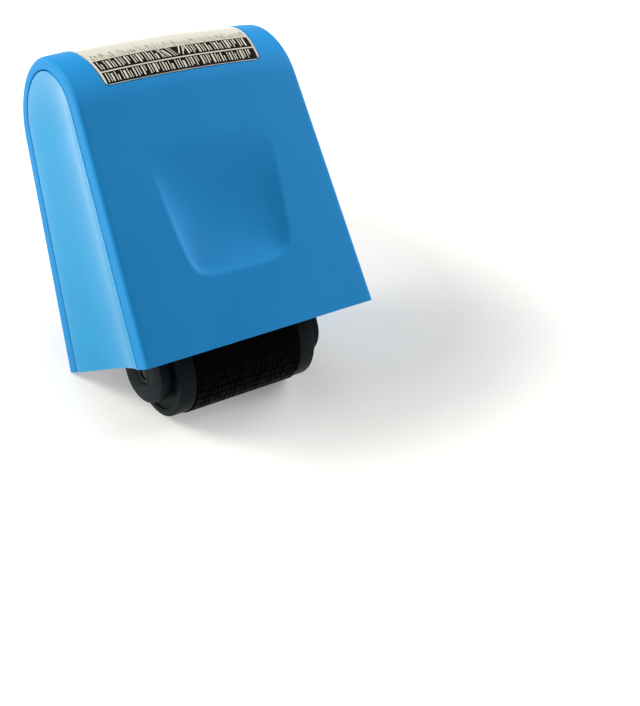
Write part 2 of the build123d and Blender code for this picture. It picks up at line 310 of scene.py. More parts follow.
def shell_half_section(station):
    edge_round = EDGE_ROUND
    if not station[0]:
        climb = (math.sin(station[1]) - ROUND_START) / (1 - ROUND_START)
        edge_round += (ARCH_EDGE_ROUND - EDGE_ROUND) * smooth(climb)
    # A few rounds settle how far out the edge starts, so that it ends on the side plane
    reach = HALF_WIDTH - edge_round
    for _ in range(5):
        edge_way = wall_way(reach, station)
        heart = wall_point(reach, station, 0) - edge_way * edge_round
        reach += HALF_WIDTH * math.cos(side_lean) - edge_round - heart.dot(side_way)
    spread = label_spread(station)
    bed_end = BED_COLUMNS_END * spread
    columns = [column * spread for column in inner_columns]
    columns += [bed_end + (reach - bed_end) * column / OUTER_COLUMNS for column in range(OUTER_COLUMNS + 1)]
    chain = []
    for across in columns:
        point, way = wall_point(across, station, 0), wall_way(across, station)
        chain.append(point - way * (scoop_depth(point, station) + bed_depth(across, station)))
    for step in range(1, EDGE_STEPS + 1):
        chain.append(heart + edge_way.slerp(side_way, step / EDGE_STEPS) * edge_round)
    rim = chain[-1]
    lip = side_point(*panel_edge(station, PANEL_GAP + LIP_ROUND), 0)
    chain += [rim.lerp(lip, step / LIP_STEPS) for step in range(1, LIP_STEPS + 1)]
    opening = (
        (PANEL_GAP + 0.3 * LIP_ROUND, 0.25 * LIP_ROUND), (PANEL_GAP, LIP_ROUND), (PANEL_GAP, PANEL_REBATE),
        (PANEL_GAP - PANEL_LEDGE, PANEL_REBATE), (PANEL_GAP - PANEL_LEDGE, SIDE_THICKNESS),
    )
    chain += [side_point(*panel_edge(station, growth), depth) for growth, depth in opening]
    inner = HALF_WIDTH - SIDE_THICKNESS / math.cos(side_lean)
    inner -= wall_point(inner, station, WALL).z * math.tan(side_lean)
    for share in (1, 0.8, 0.6, 0.4, 0.2, 0):
        point = wall_point(inner * share, station, WALL)
        if station[0] and share < BACKING_REACH:
            behind = BACKING * smooth((point.z - BACKING_FOOT) / BACKING_RAMP)
            behind *= smooth((BACKING_TOP - point.z) / BACKING_RAMP)
            point -= wall_way(inner * share, station) * behind
        chain.append(point)
    if station[0] and station[1] == 0:
        chain = [Vector((point.x, point.y, 0)) for point in chain]
    return chain


# Rows of points, each closed round on itself, become a skin. The first and last row are
# closed with one flat face each.
def skin_of_loops(loops, closed_ends=True):
    count = len(loops[0])
    points = [point for loop in loops for point in loop]
    faces = []
    for row in range(len(loops) - 1):
        for column in range(count):
            after = (column + 1) % count
            low, high = row * count, (row + 1) * count
            faces.append((low + column, low + after, high + after, high + column))
    if closed_ends:
        faces.append(tuple(range(count)))
        faces.append(tuple(reversed(range((len(loops) - 1) * count, len(loops) * count))))
    return points, faces


# Points closer than MERGED become one, and edges shorter than SLIVER go
MERGED = 0.002
SLIVER = 0.0005


def moulding(name, points, faces, body, material, slot, sharp=35):
    mesh = bpy.data.meshes.new(name)
    mesh.from_pydata([[value * MM for value in point] for point in points], [], faces)
    shape = bmesh.new()
    shape.from_mesh(mesh)
    bmesh.ops.remove_doubles(shape, verts=shape.verts, dist=MERGED * MM)
    bmesh.ops.dissolve_degenerate(shape, edges=shape.edges, dist=SLIVER * MM)
    bmesh.ops.recalc_face_normals(shape, faces=shape.faces)
    bmesh.ops.transform(shape, matrix=standing, verts=shape.verts)
    shape.to_mesh(mesh)
    shape.free()
    for face in mesh.polygons:
        face.use_smooth = True
    mesh.set_sharp_from_angle(angle=math.radians(sharp))
    piece = bpy.data.objects.new(name, mesh)
    bpy.context.scene.collection.objects.link(piece)
    mesh.materials.append(material)
    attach(piece, body)
    return piece


shell_loops = []
for station in stations:
    half = shell_half_section(station)
    other = [Vector((-point.x, point.y, point.z)) for point in reversed(half[1:-1])]
    shell_loops.append(half + other)
housing = moulding(
    "housing_shell_skin", *skin_of_loops(shell_loops), "stamp_body", blue_abs, "housing_plastic", sharp=50
)
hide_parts("housing_shell")

# Side panels: two dished mouldings of blue ABS, pressed into the side openings, with a fine even
# groove round each. The dish is deepest toward the front and fades out at the top.
DISH_DEPTH = 2.5
DISH_HEART = 0.38
DISH_FALL = 1.6
DISH_THINNING = 0.3
DISH_TOP = 69.5
DISH_FADE = 16
PANEL_ROUND = 0.22
ROUND_MIDDLE = 0.07
PANEL_ROWS = 60
PANEL_ARCH_ROWS = 26
DISH_COLUMNS = 44
BACK_COLUMNS = 8
LEAST_HALF = 0.01
# Smooth blue ABS: the panels' tool is polished, so they take a clearer and brighter reflection.
# Their blue is lighter and more cyan than the shell's, a painted light for the bright lit side.
smooth_abs_painted_lighter = moulded_blue("smooth_abs_painted_light_blue", "#069CDA", "#06A0DE", 0.14, 0.19, 0.27)


# Depth of the dish: across, a curve with its lowest line in front of the middle, which starts
# steep at the front edge and runs out gently to the rear
def dish_depth(rear, up, half):
    share = min(max((1 + rear / half) / 2, 0.0), 1.0)
    if share < DISH_HEART:
        bow = 1 - (1 - share / DISH_HEART) ** 2
    else:
        past = (share - DISH_HEART) / (1 - DISH_HEART)
        bow = (1 - past) ** DISH_FALL * (1 + DISH_FALL * past)
    thinner = 1 - DISH_THINNING * up / (ARCH_LEVEL + panel_radius)
    return DISH_DEPTH * bow * thinner * smooth((DISH_TOP - up) / DISH_FADE)


def panel_loop(station):
    mirror_station = (-station[0], station[1]) if station[0] else (0, math.pi - station[1])
    rings = (
        (-PANEL_LEDGE, SIDE_THICKNESS), (-PANEL_LEDGE, PANEL_REBATE), (0, PANEL_REBATE), (0, PANEL_ROUND),
        (-ROUND_MIDDLE, ROUND_MIDDLE), (-PANEL_ROUND, 0),
    )
    front = [side_point(*panel_edge(station, growth), depth) for growth, depth in rings]
    rear = [side_point(*panel_edge(mirror_station, growth), depth) for growth, depth in rings]
    edge, up = panel_edge(station, -PANEL_ROUND)
    half = abs(edge)
    face = []
    for column in range(1, DISH_COLUMNS):
        across = -math.cos(math.pi * column / DISH_COLUMNS) * half
        face.append(side_point(across, up, dish_depth(across, up, max(half, LEAST_HALF))))
    back_half, back_up = panel_edge(station, -PANEL_LEDGE)
    back = []
    for column in range(BACK_COLUMNS - 1, 0, -1):
        back.append(side_point(back_half * (1 - 2 * column / BACK_COLUMNS), back_up, SIDE_THICKNESS))
    loop = front + face + rear[::-1] + back
    if station[0] and station[1] == 0:
        loop = [Vector((point.x, point.y, 0)) for point in loop]
    return loop


panel_stations = [(-1, row / PANEL_ROWS) for row in range(PANEL_ROWS)]
for row in range(PANEL_ARCH_ROWS + 1):
    panel_stations.append((0, face_lean + (math.pi / 2 - face_lean) * row / PANEL_ARCH_ROWS))
panel_loops = [panel_loop(station) for station in panel_stations]
for hand, name in ((1, "right"), (-1, "left")):
    points, faces = skin_of_loops(panel_loops)
    points = [Vector((hand * point.x, point.y, point.z)) for point in points]
    panel = moulding(
        "side_panel_" + name + "_skin", points, faces[:-1], "stamp_body", smooth_abs_painted_lighter, "housing_plastic",
        sharp=40,
    )
    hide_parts("side_panel_" + name)

# Top label: a cream polyester film, screen printed in near-black and stuck in its bed over the
# arch. Each half of the print has two dark rows with plain light bars, and a row of faint bars
# whose pale ink is a painted glare.
BED_CLEARANCE = 0.01
LABEL_ROWS = 40
LABEL_COLUMNS = 12
# Polyester film: glossy and cream, with faint streaks 3 mm apart in its coating
cream_film, streak, film_tint = patterned(
    "cream_polyester_film", "ShaderNodeTexNoise", {"Scale": 1 / (3 * MM), "Detail": 3.0}, "#D0CBBC", "#DDD9CA"
)
film_bump = node(cream_film, "ShaderNodeBump", {"Strength": 0.2, "Distance": 0.01 * MM}, Height=streak)
film_shader = node(
    cream_film, "ShaderNodeBsdfPrincipled", {"Roughness": 0.22, "IOR": 1.57},
    Base_Color=film_tint, Normal=film_bump.outputs["Normal"],
)
node(cream_film, "ShaderNodeOutputMaterial", Surface=film_shader.outputs["BSDF"])

label_end = (math.pi / 2 - LABEL_START) * arch_radius
label_top = LABEL_INSET - LABEL_THICKNESS
label_loops = []
for row in range(-LABEL_ROWS, LABEL_ROWS + 1):
    along = label_end * math.sin(math.pi / 2 * row / LABEL_ROWS)
    left_over = label_end - abs(along)
    station = (0, math.pi / 2 + along / arch_radius)
    half = LABEL_HALF * label_spread(station)
    if left_over < LABEL_CORNER:
        half -= LABEL_CORNER - math.sqrt(LABEL_CORNER**2 - (LABEL_CORNER - left_over) ** 2)
    places = [half * column / LABEL_COLUMNS for column in range(-LABEL_COLUMNS, LABEL_COLUMNS + 1)]
    upper = [wall_point(across, station, label_top) for across in places]
    lower = [wall_point(across, station, LABEL_INSET - BED_CLEARANCE) for across in reversed(places)]
    label_loops.append(upper + lower)
label = moulding("top_label_film", *skin_of_loops(label_loops), "stamp_body", cream_film, "label_film")
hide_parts("top_label")

# A printed patch has four corners as (across, angle in degrees up the arch) and stands a hair
# above the film
PRINT_TURN_STEP = 2.5
PRINT_WIDTH_STEP = 4
PRINT_ROOT = 0.02


# Adds one more skin to the points and faces gathered so far
def gather(points, faces, more_points, more_faces):
    faces += [tuple(index + len(points) for index in face) for face in more_faces]
    points += more_points


def printed_patches(name, patches, material, lift):
    points, faces = [], []
    for low_left, low_right, high_right, high_left in patches:
        steps = max(2, round(abs(high_left[1] - low_left[1]) / PRINT_TURN_STEP))
        wide = max(1, round(abs(low_right[0] - low_left[0]) / PRINT_WIDTH_STEP))
        loops = []
        for step in range(steps + 1):
            share = step / steps
            start = [a + (b - a) * share for a, b in zip(low_left, high_left)]
            end = [a + (b - a) * share for a, b in zip(low_right, high_right)]
            upper, lower = [], []
            for column in range(wide + 1):
                turn = math.radians(start[1] + (end[1] - start[1]) * column / wide)
                across = (start[0] + (end[0] - start[0]) * column / wide) * label_spread((0, turn))
                upper.append(wall_point(across, (0, turn), label_top - lift))
                lower.append(wall_point(across, (0, turn), label_top + PRINT_ROOT))
            loops.append(upper + lower[::-1])
        gather(points, faces, *skin_of_loops(loops))
    return moulding(name, points, faces, "stamp_body", material, "label_film")


def upright_patch(left, right, low, high, slant=0.0):
    return (left, low), (right, low), (right + slant, high), (left + slant, high)


def both_halves(patch):
    return patch, tuple((across, 180 - turn) for across, turn in patch)


# The dark rows, and in the upper one a slanted group near the middle
LOWER_ROW = (20.6, 31.6)
UPPER_ROW = (33.0, 45.0)
FIELD_HALF = 19.45
BARS_START = -18.9
BARS_END = 18.6
FOOT_MARGIN = 1.6
HEAD_MARGIN = 1.0
SLANTED_START = -3.2
SLANTED_END = 2.2
SLANT = 1.1
SLANT_RISE = 1.2
bar_widths = (0.26, 0.18, 0.4, 0.2, 0.26, 0.18, 0.5, 0.24, 0.2, 0.34)
bar_spaces = (0.46, 0.34, 0.56, 0.36, 0.74, 0.4, 0.46, 0.34, 0.62)
bar_height_shares = (1.0, 1.0, 0.86, 1.0, 0.62, 1.0, 0.9, 1.0, 0.74)
field_patches, bar_patches = [], []
for row, (low, high) in enumerate((LOWER_ROW, UPPER_ROW)):
    field_patches += both_halves(upright_patch(-FIELD_HALF, FIELD_HALF, low, high))
    room = high - low - FOOT_MARGIN - HEAD_MARGIN
    across, count = BARS_START, 3 * row
    while across < BARS_END:
        width = bar_widths[count % len(bar_widths)]
        tall = bar_height_shares[count % len(bar_height_shares)]
        foot = low + FOOT_MARGIN + room * (1 - tall) * (count % 2)
        top = foot + room * tall
        slant = 0.0
        if row == 1 and SLANTED_START < across < SLANTED_END:
            slant = SLANT if across > 0 else -SLANT
            top += SLANT_RISE
        bar_patches += both_halves(upright_patch(across, across + width, foot, top, slant))
        across += width + bar_spaces[count % len(bar_spaces)]
        count += 1

# Third row of each half: only slim faint bars, in pale ink that is a painted glare washing out
# the print near the top of the arch
FAINT_START = -19.2
FAINT_END = 19.0
FAINT_FOOT = 1.0
FAINT_LEAST = 5
FAINT_MORE = 6
faint_widths = (0.22, 0.32, 0.42)
faint_spaces = (0.16, 0.46, 0.36, 0.26)
faint_patches = []
across, count = FAINT_START, 0
while across < FAINT_END:
    width = faint_widths[count % len(faint_widths)]
    top = UPPER_ROW[1] + FAINT_LEAST + FAINT_MORE * (count * 5 % 7) / 7
    faint_patches += both_halves(upright_patch(across, across + width, UPPER_ROW[1] + FAINT_FOOT, top))
    across += width + faint_spaces[count % len(faint_spaces)]
    count += 1

# Pale screen ink, a painted glare: a grey-brown veil, lighter in patches 1.2 mm wide
glare_pale_ink, _, glare_pale_tint = patterned(
    "screen_ink_painted_glare", "ShaderNodeTexNoise", {"Scale": 1 / (1.2 * MM), "Detail": 3.0}, "#6A6352", "#B4AE9E",
    ends=(0.35, 0.6),
)
glare_pale_shader = node(
    glare_pale_ink, "ShaderNodeBsdfPrincipled", {"Roughness": 0.3, "IOR": 1.5}, Base_Color=glare_pale_tint
)
node(glare_pale_ink, "ShaderNodeOutputMaterial", Surface=glare_pale_shader.outputs["BSDF"])

# Screen ink: a warm near-black with hardly any gloss beside the film. The screen's mesh
# of 0.1 mm leaves it uneven, drawn 0.5 mm so that it shows.
black_ink, _, ink_tint = patterned(
    "black_screen_ink", "ShaderNodeTexNoise", {"Scale": 1 / (0.5 * MM), "Detail": 2.0}, "#060403", "#110C07"
)
ink_shader = node(
    black_ink, "ShaderNodeBsdfPrincipled", {"Roughness": 0.3, "IOR": 1.45, "Specular IOR Level": 0.06},
    Base_Color=ink_tint,
)
node(black_ink, "ShaderNodeOutputMaterial", Surface=ink_shader.outputs["BSDF"])
printed_patches("label_print_faint_bars", faint_patches, glare_pale_ink, lift=0.015)
printed_patches("label_print_rows", field_patches, black_ink, lift=0.02)
printed_patches("label_print_bars", bar_patches, cream_film, lift=0.035)

# Base plate: a flat moulding of black ABS that closes the housing from below around the drum.
# Its window has a slot at each end that lets a cheek through, and six screws hold it.
PLATE_FOOT = 1.4
PLATE_TOP = 3.8
PLATE_OUT = 27.4
PLATE_DEEP = 19.433
CHEEK_INNER = 19.6
CHEEK_OUTER = 22.2
WINDOW_DEEP = 12.8
SLOT_OUT = 22.4
SLOT_DEEP = 10
# Moulded black ABS: a satin and slightly bluish black with weak highlights, a little uneven
# from flow marks 6 mm apart
black_abs, marks, black_tint = patterned(
    "black_moulded_abs", "ShaderNodeTexNoise", {"Scale": 1 / (6 * MM), "Detail": 2.0}, "#182024", "#1E272C"
)
black_gloss = node(black_abs, "ShaderNodeMapRange", {"To Min": 0.3, "To Max": 0.4}, Value=marks)
black_wave = node(black_abs, "ShaderNodeBump", {"Strength": 0.3, "Distance": 0.03 * MM}, Height=marks)
black_shader = node(
    black_abs, "ShaderNodeBsdfPrincipled", {"IOR": 1.4, "Specular IOR Level": 0.05},
    Base_Color=black_tint, Roughness=black_gloss.outputs["Result"],
    Normal=black_wave.outputs["Normal"],
)
node(black_abs, "ShaderNodeOutputMaterial", Surface=black_shader.outputs["BSDF"])


# Flat moulding: an outline with any holes, in the plane of two axes, between two levels. Its
# edges are eased all round.
def flat_moulding(name, outlines, low, high, axes, body, material, slot, ease=0.2):
    drawing = bpy.data.curves.new(name, "CURVE")
    drawing.dimensions = "2D"
    drawing.fill_mode = "BOTH"
    drawing.extrude = ((high - low) / 2 - ease) * MM
    drawing.bevel_depth = ease * MM
    drawing.bevel_resolution = 2
    drawing.offset = -ease * MM
    for outline in outlines:
        spline = drawing.splines.new("POLY")
        spline.points.add(len(outline) - 1)
        for place, (first, second) in zip(spline.points, outline):
            place.co = (first * MM, second * MM, 0, 1)
        spline.use_cyclic_u = True
    holder = bpy.data.objects.new(name + "_drawing", drawing)
    bpy.context.scene.collection.objects.link(holder)
    mesh = bpy.data.meshes.new_from_object(holder)
    middle = (low + high) / 2
    points = []
    for vertex in mesh.vertices:
        first, second, third = (value / MM for value in vertex.co)
        third += middle
        points.append({"YZ": (third, first, second), "XY": (first, second, third)}[axes])
    faces = [tuple(face.vertices) for face in mesh.polygons]
    bpy.data.objects.remove(holder)
    bpy.data.curves.remove(drawing)
    bpy.data.meshes.remove(mesh)
    return moulding(name, points, faces, body, material, slot)


def rectangle(left, right, low, high):
    return [(left, low), (right, low), (right, high), (left, high)]


window_end = [
    (CHEEK_INNER, -WINDOW_DEEP), (CHEEK_INNER, -SLOT_DEEP), (SLOT_OUT, -SLOT_DEEP),
    (SLOT_OUT, SLOT_DEEP), (CHEEK_INNER, SLOT_DEEP), (CHEEK_INNER, WINDOW_DEEP),
]
window = window_end + [(-x, -y) for x, y in window_end]
plate_outlines = [rectangle(-PLATE_OUT, PLATE_OUT, -PLATE_DEEP, PLATE_DEEP), window]
base_plate = flat_moulding(
    "base_plate_moulding", plate_outlines, PLATE_FOOT, PLATE_TOP, "XY", "stamp_body", black_abs,
    "frame_plastic",
)
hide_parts("base_plate")

# Posts: four short pillars of the housing's own blue moulding, behind the corners of the base
# plate. The corner screws are driven into them.
SCREW_OUT = 24.6
SCREW_MARGIN = 2.8
POST_HALF = 2.4
POST_OUTER = 2.2
POST_HEIGHT = 9
screw_deep = PLATE_DEEP - SCREW_MARGIN
for x in (-SCREW_OUT, SCREW_OUT):
    for out in (-1, 1):
        edges = sorted((out * (screw_deep - POST_HALF), out * (screw_deep + POST_OUTER)))
        flat_moulding(
            "housing_post", [rectangle(x - POST_HALF, x + POST_HALF, *edges)], PLATE_TOP,
            PLATE_TOP + POST_HEIGHT, "XY", "stamp_body", blue_abs, "housing_plastic",
        )

# Cheeks: the two mouldings of black ABS that come out below the housing. Each carries the drum
# in a bush, guides the ink roller's axle in a slot, takes the bridge's tenon at its top, and is
# screwed on by a foot on the base plate.
TONGUE_HALF = 9.2
TONGUE_DROP = 7.4
TONGUE_STEPS = 36
CHEEK_HALF = 12
SHOULDER_LEVEL = 15.9
BRIDGE_HALF = 6.5
BRIDGE_TOP = 39
BUSH_SEAT = 2.7
INK_LEVEL = 16.9
GUIDE_RADIUS = 1.55
CARRIAGE_LIFT = 1.2
MORTISE_HALF = 3.5
MORTISE_FOOT = 34.6
MORTISE_TOP = 37.8
FOOT_HALF = 5
FOOT_HEIGHT = 4
FOOT_OUT = 4.8
FOOT_SUNK = 0.3


def ring(first, second, radius, count=48):
    turns = [2 * math.pi * step / count for step in range(count)]
    return [(first + radius * math.cos(turn), second + radius * math.sin(turn)) for turn in turns]


tongue = []
for step in range(TONGUE_STEPS + 1):
    turn = math.pi + math.pi * step / TONGUE_STEPS
    tongue.append((TONGUE_HALF * math.cos(turn), AXLE_LEVEL + TONGUE_DROP * math.sin(turn)))
shoulder = [
    (TONGUE_HALF, PLATE_TOP), (CHEEK_HALF, PLATE_TOP), (CHEEK_HALF, SHOULDER_LEVEL), (BRIDGE_HALF, BRIDGE_TOP)
]
cheek_outlines = [
    tongue + shoulder + [(-y, z) for y, z in reversed(shoulder)],
    ring(0, AXLE_LEVEL, BUSH_SEAT),
    [(y, z + INK_LEVEL + (CARRIAGE_LIFT if z > 0 else 0)) for y, z in ring(0, 0, GUIDE_RADIUS, 32)],
    rectangle(-MORTISE_HALF, MORTISE_HALF, MORTISE_FOOT, MORTISE_TOP),
]
for hand, name in ((1, "right"), (-1, "left")):
    low, high = sorted((hand * CHEEK_INNER, hand * CHEEK_OUTER))
    cheek = flat_moulding(
        "cheek_" + name + "_moulding", cheek_outlines, low, high, "YZ", "stamp_body", black_abs,
        "frame_plastic", ease=0.3,
    )
    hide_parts("cheek_" + name)
    low, high = sorted((hand * (CHEEK_OUTER - FOOT_SUNK), hand * (CHEEK_OUTER + FOOT_OUT)))
    flat_moulding(
        "cheek_foot_" + name, [rectangle(low, high, -FOOT_HALF, FOOT_HALF)], PLATE_TOP,
        PLATE_TOP + FOOT_HEIGHT, "XY", "stamp_body", black_abs, "frame_plastic",
    )

# Bushes: short rings of black acetal, one pressed into each cheek, in which the drum's axle
# turns without oil. They end just inside the cheek's outer face.
BUSH_BORE = 1.55
BUSH_RIM = 2.55
BUSH_RADIUS = 2.68
BUSH_EASE = 0.1
BUSH_INSET = 0.05
# Turned black acetal: waxy and almost without gloss, with cutting marks 0.2 mm apart
black_acetal, _, acetal_tint = patterned(
    "turned_black_acetal", "ShaderNodeTexNoise", {"Scale": 1 / (0.2 * MM), "Detail": 1.0},
    "#060607", "#0B0B0D",
)
acetal_shader = node(
    black_acetal, "ShaderNodeBsdfPrincipled", {"Roughness": 0.5, "IOR": 1.48, "Specular IOR Level": 0.15},
    Base_Color=acetal_tint,
)
node(black_acetal, "ShaderNodeOutputMaterial", Surface=acetal_shader.outputs["BSDF"])


# Turned part: a profile of (station along the axle, radius) swept round the axle's line
def turned(name, profile, level, body, material, slot, count=96, sharp=30):
    loops = []
    for step in range(count):
        turn = 2 * math.pi * step / count
        loops.append([(x, r * math.cos(turn), level + r * math.sin(turn)) for x, r in profile])
    points, faces = skin_of_loops(loops + loops[:1], closed_ends=False)
    return moulding(name, points, faces, body, material, slot, sharp)


for hand, name in ((1, "right"), (-1, "left")):
    low, high = sorted((hand * CHEEK_INNER, hand * (CHEEK_OUTER - BUSH_INSET)))
    profile = [
        (low, BUSH_BORE), (low, BUSH_RIM), (low + BUSH_EASE, BUSH_RADIUS),
        (high - BUSH_EASE, BUSH_RADIUS), (high, BUSH_RIM), (high, BUSH_BORE),
    ]
    bush = turned(
        "bush_" + name + "_ring", profile, AXLE_LEVEL, "stamp_body", black_acetal, "bush_plastic", 64
    )
    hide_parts("bush_" + name)

# Bridge: a moulded bar of black ABS, thickened at its ends, that ties the tops of the cheeks. A
# tenon at each end is pressed into the cheek's mortise.
BRIDGE_FOOT = 36.6
BRIDGE_END_FOOT = 33.4
BRIDGE_SPAN = 15.4
TENON_PLAY = 0.05


# The whole of a profile that is the same on both sides, from its right half
def both_ends(half):
    return [(-x, other) for x, other in half] + half[::-1]


def deep_block(name, profile, half, body, slot):
    points, faces = skin_of_loops([[(x, y, z) for x, z in profile] for y in (-half, half)])
    return moulding(name, points, faces, body, black_abs, slot)


bridge_half = [
    (CHEEK_INNER, BRIDGE_TOP), (CHEEK_INNER, BRIDGE_END_FOOT), (BRIDGE_SPAN, BRIDGE_END_FOOT),
    (BRIDGE_SPAN, BRIDGE_FOOT),
]
bridge = deep_block(
    "cross_bridge_moulding", both_ends(bridge_half), BRIDGE_HALF, "stamp_body", "frame_plastic"
)
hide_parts("cross_bridge")
tenon_reach = CHEEK_OUTER - TENON_PLAY
tenon = rectangle(-tenon_reach, tenon_reach, MORTISE_FOOT + TENON_PLAY, MORTISE_TOP - TENON_PLAY)
deep_block("cross_bridge_tenons", tenon, MORTISE_HALF - TENON_PLAY, "stamp_body", "frame_plastic")

# Screws: six alike, of zinc-plated steel and cross-driven, through the base plate into the
# cheeks' feet and the housing's posts. Their flat heads stand under the plate.
HEAD_RADIUS = 1.9
HEAD_EDGE = 1.88
HEAD_FLAT = 1.7
HEAD_EASE = 0.16
HEAD_HEIGHT = 1.2
SHANK_RADIUS = 1.0
SHANK_END = 5.6
TIP_RADIUS = 0.5
TIP_END = 6.2
DRIVE_REACH = 1.25
DRIVE_HALF = 0.24
DRIVE_DEPTH = 0.85
DRIVE_HEART = 0.9
DRIVE_TAPER = 0.86
SCREW_STEPS = 48
# Zinc plate over steel: pale and bright, with a crystalline bloom of 0.3 mm grains
plated_steel, plating, plated_tint = patterned(
    "zinc_plated_steel", "ShaderNodeTexVoronoi", {"Scale": 1 / (0.3 * MM)}, "#B9BCC0", "#C9CCCF",
    output="Distance",
)
plated_rough = node(plated_steel, "ShaderNodeMapRange", {"To Min": 0.25, "To Max": 0.4}, Value=plating)
plated_shader = node(
    plated_steel, "ShaderNodeBsdfPrincipled", {"Metallic": 1.0},
    Base_Color=plated_tint, Roughness=plated_rough.outputs["Result"],
)
node(plated_steel, "ShaderNodeOutputMaterial", Surface=plated_shader.outputs["BSDF"])


# Rim of the cross-shaped drive at a turn: four slots that meet in the middle
def drive_rim(turn):
    nearest = min(abs(math.remainder(turn - quarter * math.pi / 2, 2 * math.pi)) for quarter in range(4))
    return min(DRIVE_REACH, DRIVE_HALF / max(math.sin(nearest), 0.01))


# A screw from the bottom of its drive, over the head and along the shank to its tip: rings of
# (radius, or share of the drive's rim, depth from the head's face, whether on that rim)
def screw_skin(x, y):
    rings = (
        (0, DRIVE_HEART, False), (DRIVE_TAPER, DRIVE_DEPTH, True), (1, 0, True), (HEAD_FLAT, 0, False),
        (HEAD_EDGE, HEAD_EASE, False), (HEAD_RADIUS, HEAD_HEIGHT, False), (SHANK_RADIUS, HEAD_HEIGHT, False),
        (SHANK_RADIUS, SHANK_END, False), (TIP_RADIUS, TIP_END, False),
    )
    loops = []
    for radius, depth, on_drive in rings:
        loop = []
        for step in range(SCREW_STEPS):
            turn = 2 * math.pi * step / SCREW_STEPS
            reach = radius * (drive_rim(turn) if on_drive else 1)
            level = PLATE_FOOT - HEAD_HEIGHT + depth
            loop.append((x + reach * math.cos(turn), y + reach * math.sin(turn), level))
        loops.append(loop)
    points, faces = skin_of_loops(loops, closed_ends=False)
    faces.append(tuple(range(len(points) - SCREW_STEPS, len(points))))
    return points, faces


screw_points, screw_faces = [], []
for x in (-SCREW_OUT, SCREW_OUT):
    for y in (-screw_deep, 0, screw_deep):
        gather(screw_points, screw_faces, *screw_skin(x, y))
screws = moulding("frame_screw_set", screw_points, screw_faces, "stamp_body", plated_steel, "screw_steel")
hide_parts("frame_screws")

# Drum axle: a steel pin with a thinner journal and an eased end on each side, ground to size and
# coloured dark, a painted shade for the hole where its end shows in the cheek. It is pressed into the drum's
# spool and turns in the two bushes.
AXLE_RADIUS = 2
JOURNAL_RADIUS = 1.5
JOURNAL_START = 19.25
AXLE_END = 21.95
# Half of a pin from the middle of its end: a slight dome, an eased rim and the pin's side
PIN_HEART = 0.02
PIN_DOME = 0.05


def pin_end(reach, face, ease, radius):
    return [(reach, PIN_HEART), (reach - PIN_DOME, face), (reach - ease, radius)]


# Ground steel, dark as a painted shade for the hole where the axle's end shows: dark metal with a
# dull gleam. Its grinding lines are 0.05 mm apart and are drawn 0.3 mm so that they show, which
# takes a scale of 0.942 mm in this texture.
dark_steel_as_shade, lines, steel_tint = patterned(
    "ground_steel_painted_dark", "ShaderNodeTexWave", {"Scale": 1 / (0.942 * MM), "Distortion": 2.0},
    "#17181A", "#222326",
)
steel_rough = node(dark_steel_as_shade, "ShaderNodeMapRange", {"To Min": 0.28, "To Max": 0.42}, Value=lines)
steel_shader = node(
    dark_steel_as_shade, "ShaderNodeBsdfPrincipled", {"Metallic": 1.0},
    Base_Color=steel_tint, Roughness=steel_rough.outputs["Result"],
)
node(dark_steel_as_shade, "ShaderNodeOutputMaterial", Surface=steel_shader.outputs["BSDF"])
axle_half = pin_end(AXLE_END, 1.2, 0.25, JOURNAL_RADIUS)
axle_half += [(JOURNAL_START, JOURNAL_RADIUS), (JOURNAL_START, AXLE_RADIUS)]
axle = turned("drum_axle_pin", both_ends(axle_half), AXLE_LEVEL, "drum", dark_steel_as_shade, "axle_steel", 64)
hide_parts("drum_axle")

# Drum: a spool of black ABS carries the die between two end flanges a little smaller than the
# die. The flanges are pressed on the axle, and each has an eased rim and a sunk ring in its face.
DIE_HALF = 14.5
DIE_RADIUS = 12.0
DIE_BORE = 10
FLANGE_OUT = 18.9
FLANGE_RADIUS = 11.7
SUNK_FACE = 18.55
core = turned(
    "drum_core_spool", both_ends([(DIE_HALF, AXLE_RADIUS), (DIE_HALF, DIE_BORE)]), AXLE_LEVEL, "drum",
    black_abs, "drum_plastic",
)
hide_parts("drum_core")
flange_profile = [
    (DIE_HALF, AXLE_RADIUS), (DIE_HALF, 11.5), (14.65, FLANGE_RADIUS), (18.45, FLANGE_RADIUS), (18.7, 11.62),
    (18.85, 11.42), (FLANGE_OUT, 11.2), (FLANGE_OUT, 9.9), (SUNK_FACE, 9.6), (SUNK_FACE, 4.2),
    (FLANGE_OUT, 3.9), (FLANGE_OUT, AXLE_RADIUS),
]
for hand, name in ((1, "right"), (-1, "left")):
    flange = turned(
        "drum_flange_" + name + "_disc", [(hand * x, r) for x, r in flange_profile], AXLE_LEVEL, "drum",
        black_abs, "drum_plastic", 128,
    )
    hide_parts("drum_flange_" + name)

# Die: a sleeve of black rubber, moulded with fine raised marks and stretched over the spool. The
# marks are plain bars of many lengths, in rows along the drum.
RELIEF = 0.25
DIE_ROWS = 34
MARK_SHARE = 0.8
MARK_GAP = 0.38
MARK_ROOT = 0.1
MARK_SHY = 0.005
DIE_MARGIN = 0.05
SHORTEST_MARK = 0.5
mark_lengths = (2.2, 0.7, 1.3, 0.7, 1.8, 0.9, 0.6, 2.6, 0.8, 1.1, 0.7)
